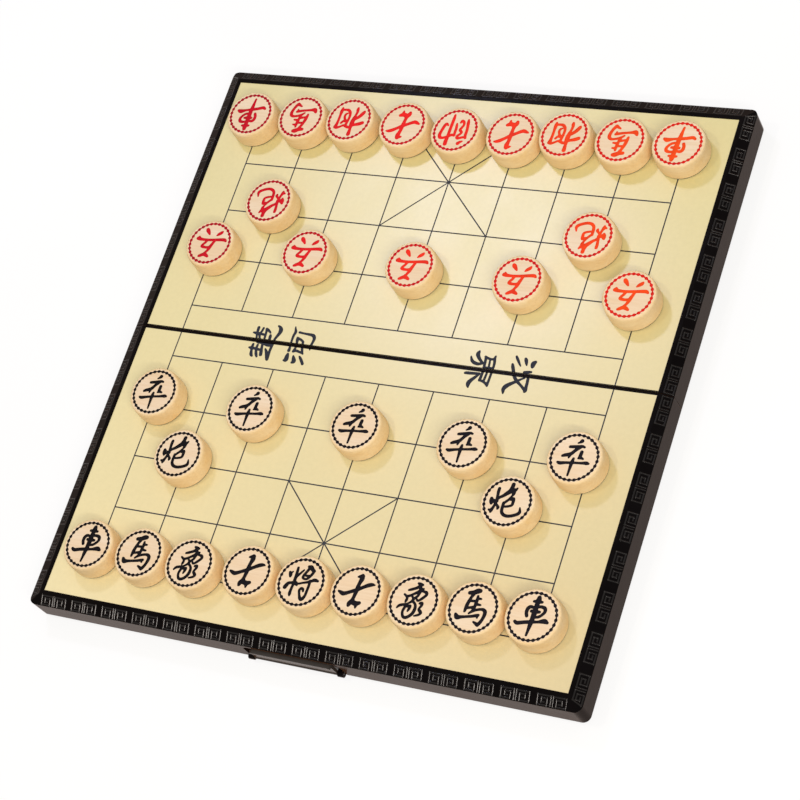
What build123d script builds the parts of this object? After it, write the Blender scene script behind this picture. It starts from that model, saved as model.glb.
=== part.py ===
"""Folding xiangqi (Chinese chess) box, open flat with its pieces set out for a game.

Two moulded half trays meet at a seam and fold about pins under their seam walls.
Open, their tops are the playing board. Folded underside to underside, they are the
box that stores the pieces, and a clasp on the far half holds the box shut.

+X runs along the seam, +Y away from the black side and +Z up. The origin is on the
ground below the middle of the board. Lengths are in millimetres.
"""
import os

from build123d import *

# Playing grid
file_pitch = 32.0  # between the files, along X
rank_pitch = 30.4  # between the ranks of one side, along Y
river_width = 31.6  # between the two innermost ranks, across the seam
file_count = 9

# Board seen from above
play_width = 302.6
play_depth = 159.5  # of one half, from the seam to its rim
lip_width = 2.1  # flat lip around the playing surface
bevel_width = 5.9  # band that slopes down outside the lip
corner_radius = 4.0
seam_gap = 0.2  # between the two seam walls
seam_lip = 0.65  # wall left bare beside the seam

# Heights and walls of a half tray
side_height = 14.1  # upright part of the outer wall
bevel_drop = 2.5
bevel_edge_radius = 0.6
wall = 2.2
plate = 1.8  # moulded plate below the steel sheet
cavity_corner_radius = 2.5
rib_height = 2.4
rib_width = 1.4
rib_spacing = 76.0
rib_count = 3

# Playing surface
sheet_thickness = 0.5
print_thickness = 0.3
print_recess = 0.3  # how far the print lies below the lip
sheet_clearance = 0.1

# Hinges
hinge_offset = 112.0  # of each hinge from the middle of the seam
knuckle_radius = 2.1
knuckle_length = 10.0
knuckle_end_gap = 0.3
knuckle_clearance = 0.3
knuckle_ground_gap = 0.2
hinge_pin_radius = 0.8
hinge_pin_clearance = 0.05
hinge_pin_recess = 0.5  # of each end of a pin inside its knuckle
closing_gap = 0.2  # between the two rims when the box is shut

# Rubber feet
foot_radius = 5.0
foot_seat_depth = 1.6
foot_clearance = 0.1
foot_boss_wall = 1.6
foot_core_radius = 3.2
foot_wall_distance = 12.0  # from the outer face of a wall to a foot's middle
foot_stagger = 16.0  # far feet stand this much further in, to pass the near bosses

# Clasp on the near wall, its recess, and the catch on the far wall
clasp_width = 48.0
clasp_thickness = 1.6
clasp_reach = 9.6  # from the pivot to the tip
clasp_barrel_radius = 1.3
clasp_pivot_height = 2.3  # above the hinge axis
clasp_floor_gap = 1.2  # between the plate and the floor of the recess
clasp_lip_clearance = 0.2
clasp_lip_length = 1.2
clasp_corner_radius = 2.5
clasp_pin_radius = 0.75
clasp_pin_clearance = 0.05
clasp_pin_recess = 0.3
ear_radius = 2.0
ear_width = 3.2
ear_gap = 0.3
recess_depth = 1.6
recess_height = 12.4
recess_side_gap = 0.4
recess_corner_radius = 3.0
catch_width = 34.0
catch_length = 1.1
catch_gap = 0.3

# Playing pieces
piece_radius = 14.8
piece_height = 11.5
shoulder_width = 1.3
shoulder_drop = 1.1

# Heights that follow
hinge_z = knuckle_ground_gap + knuckle_radius
rim_z = hinge_z + closing_gap / 2
bevel_foot_z = rim_z + side_height
top_z = bevel_foot_z + bevel_drop
play_z = top_z - print_recess
print_z = play_z - print_thickness
sheet_z = print_z - sheet_thickness
ceiling_z = sheet_z - plate

# Lengths that follow
rim_width = lip_width + bevel_width
board_width = play_width + 2 * rim_width
half_depth = play_depth + rim_width
board_depth = 2 * half_depth
seam_face = seam_gap / 2
cavity_start = seam_face + wall
cavity_depth = half_depth - wall - cavity_start
recess_floor = half_depth - recess_depth
clasp_pivot_y = recess_floor + clasp_floor_gap + clasp_thickness / 2
clasp_pivot_z = hinge_z + clasp_pivot_height
clasp_lip_height = clasp_floor_gap - clasp_lip_clearance
clasp_span = clasp_width + 2 * (ear_gap + ear_width)
recess_width = clasp_span + 2 * recess_side_gap
backing_width = recess_width + 2 * wall
hinge_positions = (-hinge_offset, hinge_offset)
knuckle_step = knuckle_length + knuckle_end_gap

NEAR, FAR = -1, 1

# How far each piece stands from its point of the grid, as a hand leaves them
back_row_names = (
    "chariot_left", "horse_left", "elephant_left", "advisor_left", "general",
    "advisor_right", "elephant_right", "horse_right", "chariot_right",
)
black_back_row = (
    (0.3, 3.5), (0.3, 3.7), (-0.5, 3.2), (1.6, 4.8), (1.2, 4.3),
    (0.7, 4.8), (0.3, 5.3), (0.0, 7.1), (-0.9, 8.4),
)
black_cannons = ((1.5, 0.5), (0.3, 3.0))
black_soldiers = ((5.1, 3.1), (2.0, 1.5), (1.0, 0.6), (-0.8, -0.6), (-4.5, 1.1))
red_back_row = (
    (-1.1, -4.8), (-0.5, -4.2), (-2.0, -3.3), (-0.4, -3.7), (-0.2, -4.6),
    (0.9, -4.2), (-0.8, -2.0), (-0.7, -2.3), (-0.7, -1.6),
)
red_cannons = ((-1.1, 2.3), (-1.5, 0.7))
red_soldiers = ((4.3, 2.8), (0.6, 3.6), (0.8, 3.0), (-0.4, 1.7), (-2.1, 0.0))


os.makedirs("parts", exist_ok=True)


def finish(builder, name):
    """Label a finished piece and write its file."""
    builder.part.label = name
    export_step(builder.part, f"parts/{name}.step")


def foot_places(side):
    """Middle of each foot of one half."""
    stagger = foot_stagger if side == FAR else 0.0
    foot_x = board_width / 2 - foot_wall_distance - stagger
    rows = (foot_wall_distance, half_depth - foot_wall_distance)
    return [(x, side * y) for x in (-foot_x, foot_x) for y in rows]


def along_x(x, y, z):
    """Place of a round form whose axis runs along X."""
    return Location((x, y, z), (0, 90, 0))


def own_knuckles(side):
    """Middles of the knuckles that one half carries: one far between two near."""
    steps = (0,) if side == FAR else (-knuckle_step, knuckle_step)
    return [along_x(x + step, 0, hinge_z) for x in hinge_positions for step in steps]


# Outer form of the whole board: upright walls, a mitred bevel and rounded corners
with BuildPart() as board_form:
    with BuildSketch(Plane.XY.offset(bevel_foot_z)):
        Rectangle(board_width, board_depth)
    with BuildSketch(Plane.XY.offset(top_z)):
        Rectangle(board_width - 2 * bevel_width, board_depth - 2 * bevel_width)
    loft()
    with BuildSketch(Plane.XY.offset(rim_z)):
        Rectangle(board_width, board_depth)
    extrude(amount=side_height)
    with BuildSketch(Plane.XY.offset(rim_z)):
        RectangleRounded(board_width, board_depth, corner_radius)
    extrude(amount=top_z - rim_z, mode=Mode.INTERSECT)
    fillet(board_form.edges().group_by(Axis.Z)[-2], bevel_edge_radius)


def half_tray(side):
    """One moulded half, without what only this half has."""
    with BuildPart() as tray:
        add(board_form.part)
        with Locations((0, side * (seam_face + board_depth / 2), top_z / 2)):
            Box(board_width, board_depth, 2 * top_z, mode=Mode.INTERSECT)

        # Playing surface: open at the seam for the print, then deeper for the sheet
        with BuildSketch(Plane.XY.offset(top_z)):
            with Locations((0, side * play_depth / 2)):
                Rectangle(play_width, play_depth)
        extrude(amount=-print_recess, mode=Mode.SUBTRACT)
        sheet_start = seam_face + seam_lip
        with BuildSketch(Plane.XY.offset(play_z)):
            with Locations((0, side * (sheet_start + play_depth) / 2)):
                Rectangle(play_width, play_depth - sheet_start)
        extrude(amount=sheet_z - play_z, mode=Mode.SUBTRACT)

        # Storage cavity, open downwards, with ribs under the plate
        cavity_middle = side * (cavity_start + cavity_depth / 2)
        with BuildSketch(Plane.XY.offset(rim_z)):
            with Locations((0, cavity_middle)):
                RectangleRounded(board_width - 2 * wall, cavity_depth, cavity_corner_radius)
        extrude(amount=ceiling_z - rim_z, mode=Mode.SUBTRACT)
        with BuildSketch(Plane.XY.offset(ceiling_z)):
            with Locations((0, cavity_middle)):
                Rectangle(board_width - 2 * wall, rib_width)
                with GridLocations(rib_spacing, 1, rib_count, 1):
                    Rectangle(rib_width, cavity_depth)
        extrude(amount=-rib_height)

        # Bosses with seats for the feet, cored out behind them
        boss_radius = foot_radius + foot_clearance + foot_boss_wall
        with BuildSketch(Plane.XY.offset(rim_z)):
            with Locations(foot_places(side)):
                Circle(boss_radius)
        extrude(amount=ceiling_z - rim_z)
        with BuildSketch(Plane.XY.offset(rim_z)):
            with Locations(foot_places(side)):
                Circle(foot_radius + foot_clearance)
        extrude(amount=foot_seat_depth, mode=Mode.SUBTRACT)
        with BuildSketch(Plane.XY.offset(rim_z + foot_seat_depth)):
            with Locations(foot_places(side)):
                Circle(foot_core_radius)
        extrude(amount=ceiling_z - rim_z - foot_seat_depth, mode=Mode.SUBTRACT)

        # Recess for the clasp in the outer wall, backed by a thicker wall inside
        backing_depth = recess_depth + wall
        with BuildSketch(Plane.XY.offset(rim_z)):
            with Locations((0, side * (half_depth - wall - recess_depth / 2))):
                Rectangle(backing_width, backing_depth - wall)
        extrude(amount=ceiling_z - rim_z)
        with BuildSketch(Plane.XZ.offset(-side * half_depth)) as recess:
            with Locations((0, rim_z)):
                Rectangle(recess_width, 2 * recess_height)
            fillet(recess.vertices().group_by(Axis.Z)[-1], recess_corner_radius)
        extrude(amount=side * recess_depth, mode=Mode.SUBTRACT)

        # Hinge: room for the other half's knuckles, own knuckles and the pin's bore
        with Locations(own_knuckles(-side)):
            Cylinder(
                knuckle_radius + knuckle_clearance,
                knuckle_length + 2 * knuckle_end_gap,
                mode=Mode.SUBTRACT,
            )
        with Locations(own_knuckles(side)):
            Cylinder(knuckle_radius, knuckle_length)
            Cylinder(
                hinge_pin_radius + hinge_pin_clearance, knuckle_length, mode=Mode.SUBTRACT
            )
    return tray


# Near tray, with the ears that carry the clasp
with BuildPart() as near_tray:
    add(half_tray(NEAR).part)
    for ear_start in (-clasp_span / 2, clasp_span / 2 - ear_width):
        with BuildSketch(Plane.YZ.offset(ear_start)):
            with Locations((-clasp_pivot_y, clasp_pivot_z)):
                Circle(ear_radius)
            ear_root = recess_floor - clasp_pivot_y
            with Locations((-clasp_pivot_y - ear_root / 2, clasp_pivot_z)):
                Rectangle(-ear_root, 2 * ear_radius)
        extrude(amount=ear_width)
    with Locations(along_x(0, -clasp_pivot_y, clasp_pivot_z)):
        Cylinder(clasp_pin_radius + clasp_pin_clearance, clasp_span, mode=Mode.SUBTRACT)
finish(near_tray, "near_tray")

# Far tray, with the catch that the clasp's lip hooks behind
with BuildPart() as far_tray:
    add(half_tray(FAR).part)
    tip_z = 2 * hinge_z - clasp_pivot_z + clasp_reach
    catch_top = tip_z - clasp_lip_length - catch_gap
    with Locations((0, recess_floor + clasp_lip_height / 2, catch_top - catch_length / 2)):
        Box(catch_width, clasp_lip_height, catch_length)
finish(far_tray, "far_tray")

# Steel sheets that the magnets hold to, and the printed films on them
surface_start = seam_face + seam_lip + sheet_clearance
surface_depth = play_depth - sheet_clearance - surface_start
surface_width = play_width - 2 * sheet_clearance
for half_name, side in (("near", NEAR), ("far", FAR)):
    surface_middle = side * (surface_start + surface_depth / 2)
    with BuildPart() as steel_sheet:
        with BuildSketch(Plane.XY.offset(sheet_z)):
            with Locations((0, surface_middle)):
                Rectangle(surface_width, surface_depth)
        extrude(amount=sheet_thickness)
    finish(steel_sheet, f"{half_name}_steel_sheet")
    with BuildPart() as board_print:
        with BuildSketch(Plane.XY.offset(print_z)):
            with Locations((0, surface_middle)):
                Rectangle(surface_width, surface_depth)
        extrude(amount=print_thickness)
    finish(board_print, f"{half_name}_board_print")

    # Rubber feet in their seats
    with BuildPart() as feet:
        with BuildSketch():
            with Locations(foot_places(side)):
                Circle(foot_radius)
        extrude(amount=rim_z + foot_seat_depth)
    finish(feet, f"{half_name}_feet")

# Hinge pins
pin_length = 2 * knuckle_step + knuckle_length - 2 * hinge_pin_recess
for hinge_name, hinge_x in zip(("left", "right"), hinge_positions):
    with BuildPart() as hinge_pin:
        with Locations(along_x(hinge_x, 0, hinge_z)):
            Cylinder(hinge_pin_radius, pin_length)
    finish(hinge_pin, f"hinge_pin_{hinge_name}")

# Clasp, folded up against the near wall: barrel, plate and the lip at its tip
with BuildPart() as clasp:
    with BuildSketch(Plane.YZ.offset(-clasp_width / 2)):
        with Locations((-clasp_pivot_y, clasp_pivot_z)):
            Circle(clasp_barrel_radius)
        with Locations((-clasp_pivot_y, clasp_pivot_z + clasp_reach / 2)):
            Rectangle(clasp_thickness, clasp_reach)
        lip_y = clasp_pivot_y + (clasp_thickness + clasp_lip_height) / 2
        with Locations((-lip_y, clasp_pivot_z + clasp_reach - clasp_lip_length / 2)):
            Rectangle(clasp_lip_height, clasp_lip_length)
    extrude(amount=clasp_width)
    with Locations(along_x(0, -clasp_pivot_y, clasp_pivot_z)):
        Cylinder(clasp_pin_radius + clasp_pin_clearance, clasp_width, mode=Mode.SUBTRACT)
    fillet(clasp.edges().filter_by(Axis.Y).group_by(Axis.Z)[-1], clasp_corner_radius)
finish(clasp, "clasp")

with BuildPart() as clasp_pin:
    with Locations(along_x(0, -clasp_pivot_y, clasp_pivot_z)):
        Cylinder(clasp_pin_radius, clasp_span - 2 * clasp_pin_recess)
finish(clasp_pin, "clasp_pin")

# Playing piece: a turned disc with a bevelled shoulder round its flat face
with BuildPart() as piece_form:
    with BuildSketch(Plane.XZ):
        with BuildLine():
            Polyline(
                (0, 0),
                (piece_radius, 0),
                (piece_radius, piece_height - shoulder_drop),
                (piece_radius - shoulder_width, piece_height),
                (0, piece_height),
                close=True,
            )
        make_face()
    revolve(axis=Axis.Z)


def grid_point(file, rank, side):
    """Point of the grid; ranks count from one half's own back line."""
    x = (file - (file_count - 1) / 2) * file_pitch
    y = river_width / 2 + (4 - rank) * rank_pitch
    return x, side * y


def set_out(name, file, rank, side, offset):
    """One playing piece, standing beside its point by a small offset."""
    x, y = grid_point(file, rank, side)
    with BuildPart() as piece:
        with Locations((x + offset[0], y + offset[1], play_z)):
            add(piece_form.part)
    finish(piece, name)


sides = (
    ("black", NEAR, black_back_row, black_cannons, black_soldiers),
    ("red", FAR, red_back_row, red_cannons, red_soldiers),
)
for colour, side, back_row, cannons, soldiers in sides:
    for file, offset in enumerate(back_row):
        set_out(f"{colour}_{back_row_names[file]}", file, 0, side, offset)
    for place, file, offset in zip(("left", "right"), (1, file_count - 2), cannons):
        set_out(f"{colour}_cannon_{place}", file, 2, side, offset)
    for index, offset in enumerate(soldiers):
        set_out(f"{colour}_soldier_{index + 1}", 2 * index, 3, side, offset)
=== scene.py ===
"""Looks of the folding xiangqi box: plastic, printed board, meander rim and engraved pieces.

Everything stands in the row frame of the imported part, in metres: +X along the seam,
+Y away from the black side, +Z up.
"""
import math
import random

import bmesh
import bpy
import numpy as np
from mathutils import Matrix, Vector, geometry


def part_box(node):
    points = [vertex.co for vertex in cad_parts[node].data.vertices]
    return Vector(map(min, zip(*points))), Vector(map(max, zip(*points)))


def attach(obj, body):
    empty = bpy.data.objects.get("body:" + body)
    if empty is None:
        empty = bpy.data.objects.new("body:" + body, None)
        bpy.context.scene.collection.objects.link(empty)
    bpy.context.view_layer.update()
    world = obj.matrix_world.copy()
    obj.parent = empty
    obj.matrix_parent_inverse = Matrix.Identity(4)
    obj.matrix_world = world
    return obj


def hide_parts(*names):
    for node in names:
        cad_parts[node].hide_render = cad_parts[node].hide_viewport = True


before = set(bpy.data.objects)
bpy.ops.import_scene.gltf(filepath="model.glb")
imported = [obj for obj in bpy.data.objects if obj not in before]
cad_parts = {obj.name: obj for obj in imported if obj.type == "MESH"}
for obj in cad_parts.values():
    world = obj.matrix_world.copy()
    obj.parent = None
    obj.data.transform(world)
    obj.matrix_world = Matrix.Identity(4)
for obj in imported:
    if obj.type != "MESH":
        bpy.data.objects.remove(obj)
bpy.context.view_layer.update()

MM = 0.001
CORNERS = ((-1, -1), (1, -1), (1, 1), (-1, 1))  # of a square, one after another

# Printed board
FILE_PITCH = 32.0 * MM
RANK_PITCH = 30.4 * MM
RIVER_WIDTH = 31.6 * MM
FILE_COUNT = 9
RANKS_OF_A_SIDE = 5
LINE_WIDTH = 0.70 * MM
SEAM_EDGE_WIDTH = 0.4 * MM
INK_THICKNESS = 0.03 * MM
PALACE_HALF_WIDTH = 1  # in files
PALACE_DEPTH = 2  # in ranks
PAINTED_LIGHT_REACH = 0.16  # from the middle to where the painted light and shade end their drift over the board

# Rim of the board
BEVEL_WIDTH = 5.9 * MM
BEVEL_DROP = 2.5 * MM
MOTIF_HEIGHT = 4.7 * MM
MOTIF_BARS = (0.6 * MM, 2.4 * MM, 3.8 * MM, 5.4 * MM, 7.5 * MM)  # bars across, from its middle
HOOK_INSET = 0.3 * MOTIF_HEIGHT  # of the square hook from the motif's long edges
MOTIFS_OF_FRONT = 16
MOTIFS_OF_HALF_SIDE = 8
FIRST_FROM_SEAM = 8.5 * MM
SIDE_PITCH = 21.1 * MM
RIDGE_WIDTH = 0.85 * MM
RIDGE_SECTION = (  # offset and height of a ridge's rounded section, as shares of its width
    (-0.5, -0.1), (-0.42, 0.02), (-0.1, 0.24), (0.1, 0.24), (0.42, 0.02), (0.5, -0.1),
)
LOW_RIDGE = 0.6  # height of the bars along the band, as a share of those across it
MITRE_MARGIN = 0.5 * MM

# Rounding of the plastic's edges
TRAY_EDGE = 0.4 * MM
CLASP_EDGE = 0.3 * MM
FINE_EDGE = 0.05 * MM
RUBBER_EDGE = 0.4 * MM
BEVEL_SAMPLES = 4

# Playing pieces
RING_RADIUS = 12.15 * MM
FACE_RADIUS = 13.3 * MM
CARVING_DEPTH = 0.25 * MM
PIECE_SEGMENTS = 72
HAND_SEED = 32
HAND_TURN = 2.5  # degrees either way
PIECE_PROFILE = (  # radius and height of the turned wood, in millimetres
    (13.30, 11.50), (13.62, 11.45), (13.95, 11.28), (14.22, 10.98), (14.41, 10.55),
    (14.56, 9.80), (14.68, 8.60), (14.76, 7.10), (14.80, 5.40), (14.80, 3.70),
    (14.78, 2.20), (14.74, 1.10), (14.66, 0.62), (14.52, 0.50),
)
MAGNET_PROFILE = ((14.42, 0.50), (14.46, 0.06), (14.36, 0.0))

# Drawing grid of the brush: units across one file pitch, with its middle at 180, 180
BRUSH_GRID = 360.0
BRUSH_MIDDLE = 180.0
BRUSH_UNIT = FILE_PITCH / BRUSH_GRID
FIELD_STEP = 2.0  # between the samples that outlines are found from
SPLINE_STEPS = 6
OUTLINE_TOLERANCE = 0.3
INK_SPREAD = 2.6  # how far the paint reaches beyond the brush on each side
RING_LINE = 3.6
RING_BEADS = 30
BEAD_LENGTH = 8.6
BEAD_WIDTH = 7.4
RING_HALF_WIDTH = (BEAD_WIDTH + INK_SPREAD + FIELD_STEP) * BRUSH_UNIT

# Tolerances
TINY = 1e-9  # keeps a division by a length from failing
PLAN_TOLERANCE = 1e-6  # in brush units
GRID_TOLERANCE = 1e-7
MERGE_DISTANCE = 1e-7

# Stage
FLOOR_LIFT = 0.8
FLOOR_REACH = 8.0
WORLD_FILL = 0.46
WORLD_COLOUR = (1.0, 0.985, 0.965, 1.0)
SENSOR_WIDTH = 36.0  # in millimetres, as is the lens
CAMERA_LENS = 106.08
CAMERA_CLIP = 0.01
CAMERA_PLACE = Vector((0.56512, -0.44488, 1.00228))  # from the middle of the printed face
CAMERA_AIM = Vector((0.01485, -0.02299, 0.0))  # what it looks at, from there too
CAMERA_ROLL = math.radians(-38.955)  # negative where the picture's right side dips
LAMPS = (
    # name, place, size, watts, colour, point that it faces
    ("back_window", (-0.65, 0.74, 1.29), (0.15, 0.13), 5.1, (0.62, 0.68, 1.0), (0, 0, 0)),
    ("left_key", (-0.50, -0.15, 1.60), (0.12, 0.12), 3.4, (1.0, 0.97, 0.92), (0, 0, 0)),
    ("front_softbox", (0.75, -0.60, 1.35), (0.5, 0.5), 7.0, (1.0, 0.98, 0.94), (0, 0, 0)),
    ("front_strip", (1.2, -0.89, 1.20), (0.95, 0.10), 11.0, (1.0, 0.99, 0.97), (1.2, 0, 0)),
)

near_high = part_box("near_tray")[1]
far_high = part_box("far_tray")[1]
far_film_low, far_film_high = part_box("far_board_print")
play_z = far_film_high.z
top_z = near_high.z
board_half_width = near_high.x
board_half_depth = far_high.y
seam_edge = far_film_low.y

# Brush strokes of the game's characters: x to the right, y down, width of the brush
CHARIOT = (
    ((190, 68, 20), (190, 86, 28), (187, 112, 22), (186, 148, 27), (184, 188, 24), (180, 228, 21),
     (177, 262, 13), (174, 288, 10)),
    ((166, 93, 11), (189, 92, 18), (213, 92, 11)),
    ((174, 128, 12), (154, 127, 16), (142, 140, 18), (140, 162, 16), (147, 181, 15)),
    ((190, 123, 14), (216, 118, 14), (238, 124, 17), (243, 142, 15), (232, 162, 13),
     (214, 177, 13), (192, 182, 12)),
    ((166, 150, 14), (190, 150, 20), (213, 149, 12)),
    ((88, 221, 13), (104, 228, 18), (140, 219, 17), (180, 211, 17), (215, 206, 12), (240, 199, 20),
     (257, 196, 24), (273, 202, 13)),
)
HORSE = (
    ((138, 94, 18), (160, 90, 22), (182, 79, 27), (196, 76, 20)),
    ((163, 98, 18), (154, 118, 14), (147, 140, 16), (141, 165, 18), (138, 188, 16),
     (136, 203, 10)),
    ((191, 107, 10), (192, 124, 15), (190, 145, 16), (188, 165, 15), (183, 186, 16)),
    ((192, 121, 14), (213, 121, 8)),
    ((192, 154, 14), (218, 156, 8)),
    ((152, 139, 12), (172, 138, 11), (190, 137, 13)),
    ((146, 182, 11), (166, 177, 12), (186, 170, 12)),
    ((164, 211, 8), (180, 197, 13), (203, 186, 12), (225, 180, 12), (242, 180, 15), (255, 191, 18),
     (256, 211, 17), (250, 236, 15), (241, 256, 17), (231, 270, 18)),
    ((230, 269, 18), (216, 262, 13), (203, 256, 7)),
    ((88, 224, 10), (94, 233, 20), (103, 242, 24), (124, 238, 15), (150, 233, 12), (184, 226, 13),
     (208, 219, 15), (221, 215, 13)),
    ((216, 219, 14), (218, 231, 6)),
)
BLACK_ELEPHANT = (
    ((177, 74, 8), (190, 78, 16), (205, 80, 11)),
    ((193, 82, 14), (182, 98, 15), (165, 108, 13), (148, 116, 13), (133, 122, 9)),
    ((193, 80, 12), (197, 98, 16), (205, 110, 20)),
    ((218, 102, 8), (206, 110, 20), (195, 122, 17), (181, 132, 13), (165, 143, 11), (150, 153, 12),
     (133, 159, 12), (115, 150, 7)),
    ((208, 113, 14), (225, 116, 11), (240, 120, 15), (245, 131, 14), (238, 143, 13),
     (226, 157, 13), (213, 170, 11), (203, 174, 9), (195, 166, 8)),
    ((205, 118, 12), (200, 133, 13), (196, 147, 12), (186, 159, 12), (177, 167, 14)),
    ((160, 147, 9), (168, 159, 9), (178, 166, 11)),
    ((131, 158, 10), (138, 172, 11), (136, 184, 13), (134, 194, 6)),
    ((178, 165, 14), (172, 182, 13), (158, 195, 9), (142, 206, 10), (122, 212, 13), (105, 219, 13),
     (95, 232, 8)),
    ((178, 183, 12), (192, 193, 11), (201, 208, 13), (202, 230, 16), (196, 252, 16),
     (182, 270, 15), (165, 281, 15), (150, 280, 13), (140, 268, 12), (135, 250, 12),
     (138, 232, 13), (143, 214, 12)),
    ((147, 219, 9), (160, 214, 12), (170, 212, 13), (168, 228, 14), (164, 242, 8)),
    ((221, 187, 10), (233, 185, 16), (236, 196, 13), (230, 209, 11), (227, 222, 12),
     (237, 232, 16), (245, 240, 12), (238, 250, 11), (226, 257, 10), (211, 263, 6)),
)
RED_ELEPHANT = (
    ((148, 77, 22), (149, 95, 19), (150, 115, 15), (152, 140, 23), (152, 165, 27), (150, 190, 21),
     (146, 215, 12), (143, 240, 14), (146, 256, 17), (147, 268, 10)),
    ((82, 167, 20), (100, 158, 21), (125, 150, 16), (150, 142, 18)),
    ((142, 188, 18), (121, 205, 19), (108, 222, 21), (98, 240, 19), (95, 248, 10)),
    ((152, 130, 17), (172, 125, 15), (190, 132, 15), (206, 134, 11), (225, 122, 11),
     (245, 113, 15), (258, 117, 19)),
    ((256, 118, 21), (253, 145, 15), (252, 175, 13), (253, 205, 13), (253, 235, 19),
     (253, 256, 9)),
    ((253, 243, 13), (230, 246, 12), (211, 246, 15), (200, 239, 15)),
    ((192, 136, 15), (188, 160, 14), (185, 185, 13), (185, 208, 13), (190, 228, 14),
     (200, 241, 15)),
    ((227, 150, 12), (216, 164, 12), (202, 167, 16), (212, 181, 12), (219, 200, 12),
     (215, 216, 11), (205, 222, 7)),
)
ADVISOR = (
    ((161, 94, 7), (174, 90, 17), (186, 88, 24)),
    ((184, 84, 20), (187, 102, 26), (183, 122, 20), (180, 140, 19), (180, 160, 23), (178, 190, 20),
     (176, 215, 17), (172, 238, 20)),
    ((73, 197, 8), (87, 202, 16), (104, 207, 21), (122, 201, 19), (146, 188, 17), (170, 175, 19),
     (190, 163, 19), (212, 148, 17), (232, 135, 20), (249, 127, 20), (264, 123, 14),
     (276, 123, 5)),
    ((176, 234, 22), (163, 254, 25), (160, 268, 15)),
    ((180, 246, 24), (202, 249, 25), (221, 242, 17)),
    ((205, 255, 20), (206, 273, 7)),
)
BLACK_GENERAL = (
    ((94, 130, 11), (101, 142, 19), (103, 155, 10)),
    ((103, 133, 9), (112, 125, 5)),
    ((137, 98, 12), (138, 120, 14), (138, 150, 14), (138, 180, 17), (136, 200, 13), (133, 225, 13),
     (131, 245, 15), (132, 256, 16), (133, 267, 8)),
    ((177, 107, 7), (168, 118, 9), (158, 132, 11), (146, 146, 13), (140, 160, 12)),
    ((90, 221, 22), (97, 207, 20), (105, 196, 16), (118, 192, 13), (136, 190, 16), (151, 196, 12),
     (161, 202, 6)),
    ((146, 182, 8), (165, 191, 9), (190, 183, 9), (215, 176, 11), (239, 167, 13), (255, 158, 17),
     (269, 157, 16), (282, 160, 10)),
    ((201, 82, 13), (216, 85, 22), (228, 96, 19), (242, 105, 15)),
    ((208, 92, 15), (198, 112, 13), (188, 132, 14), (182, 148, 12), (189, 156, 10), (205, 158, 10),
     (215, 152, 12), (226, 138, 13), (236, 120, 14), (241, 107, 12)),
    ((190, 136, 9), (205, 138, 10), (222, 136, 10)),
    ((233, 165, 13), (235, 185, 13), (234, 210, 13), (232, 235, 13), (230, 255, 13),
     (222, 272, 17), (212, 280, 17), (202, 272, 15), (194, 256, 11), (188, 240, 11),
     (186, 226, 13), (194, 216, 13), (206, 220, 13), (210, 231, 8)),
)
RED_GENERAL = (
    ((138, 89, 20), (128, 98, 14), (115, 104, 8)),
    ((100, 129, 14), (104, 150, 15), (102, 180, 15), (104, 210, 15), (107, 236, 17),
     (109, 256, 9)),
    ((104, 136, 11), (128, 130, 13), (151, 125, 15), (156, 139, 14), (141, 154, 12),
     (134, 168, 13), (148, 184, 15), (140, 202, 13), (132, 222, 12), (138, 241, 15),
     (150, 247, 15), (157, 235, 9)),
    ((177, 143, 12), (178, 165, 14), (176, 190, 14), (178, 210, 13), (180, 227, 7)),
    ((177, 143, 12), (195, 146, 15), (215, 136, 16), (232, 128, 14), (252, 123, 14),
     (268, 127, 18), (275, 145, 18), (270, 170, 16), (263, 195, 16), (256, 214, 16),
     (247, 223, 13), (236, 213, 9)),
    ((222, 82, 22), (222, 100, 22), (218, 130, 18), (216, 165, 16), (214, 200, 16), (211, 235, 16),
     (209, 265, 16), (208, 287, 9)),
)
CANNON = (
    ((113, 105, 15), (112, 125, 15), (114, 150, 13), (116, 175, 15), (112, 200, 13),
     (105, 222, 13), (98, 238, 18), (97, 250, 8)),
    ((82, 168, 14), (87, 184, 25), (88, 200, 9)),
    ((88, 184, 22), (105, 182, 19), (118, 180, 15)),
    ((83, 236, 7), (96, 240, 16)),
    ((116, 198, 13), (127, 208, 11), (134, 217, 15), (133, 226, 8)),
    ((117, 170, 13), (130, 156, 13), (146, 146, 16), (165, 129, 21), (181, 115, 25),
     (197, 108, 26), (211, 102, 14), (218, 92, 7)),
    ((189, 72, 20), (188, 86, 19), (184, 101, 20), (178, 115, 20)),
    ((205, 113, 18), (204, 128, 15), (199, 140, 9)),
    ((196, 145, 9), (186, 163, 12), (171, 179, 12), (160, 190, 12)),
    ((198, 160, 17), (212, 157, 15), (214, 175, 15), (212, 194, 12), (195, 203, 11),
     (174, 208, 10)),
    ((160, 187, 13), (160, 205, 15), (160, 225, 15), (164, 243, 15), (178, 257, 15),
     (200, 262, 15), (225, 258, 15), (248, 249, 15), (262, 240, 17), (268, 230, 15), (266, 216, 9),
     (263, 205, 5)),
)
BLACK_SOLDIER = (
    ((194, 76, 20), (187, 84, 12), (176, 91, 6)),
    ((136, 121, 13), (155, 118, 15), (180, 113, 15), (205, 107, 13), (220, 110, 9)),
    ((200, 112, 13), (183, 126, 17), (170, 141, 16), (158, 158, 18), (142, 168, 18),
     (122, 175, 17), (109, 181, 12)),
    ((150, 170, 17), (148, 186, 7)),
    ((213, 141, 17), (212, 158, 17), (211, 174, 17)),
    ((205, 180, 9), (220, 176, 13), (233, 180, 7)),
    ((92, 223, 9), (108, 226, 17), (140, 219, 13), (180, 212, 11), (220, 207, 11), (248, 202, 15),
     (261, 201, 18), (273, 202, 9)),
    ((178, 187, 11), (176, 205, 17), (175, 225, 17), (175, 250, 12), (175, 270, 10),
     (175, 290, 8)),
)
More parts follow.
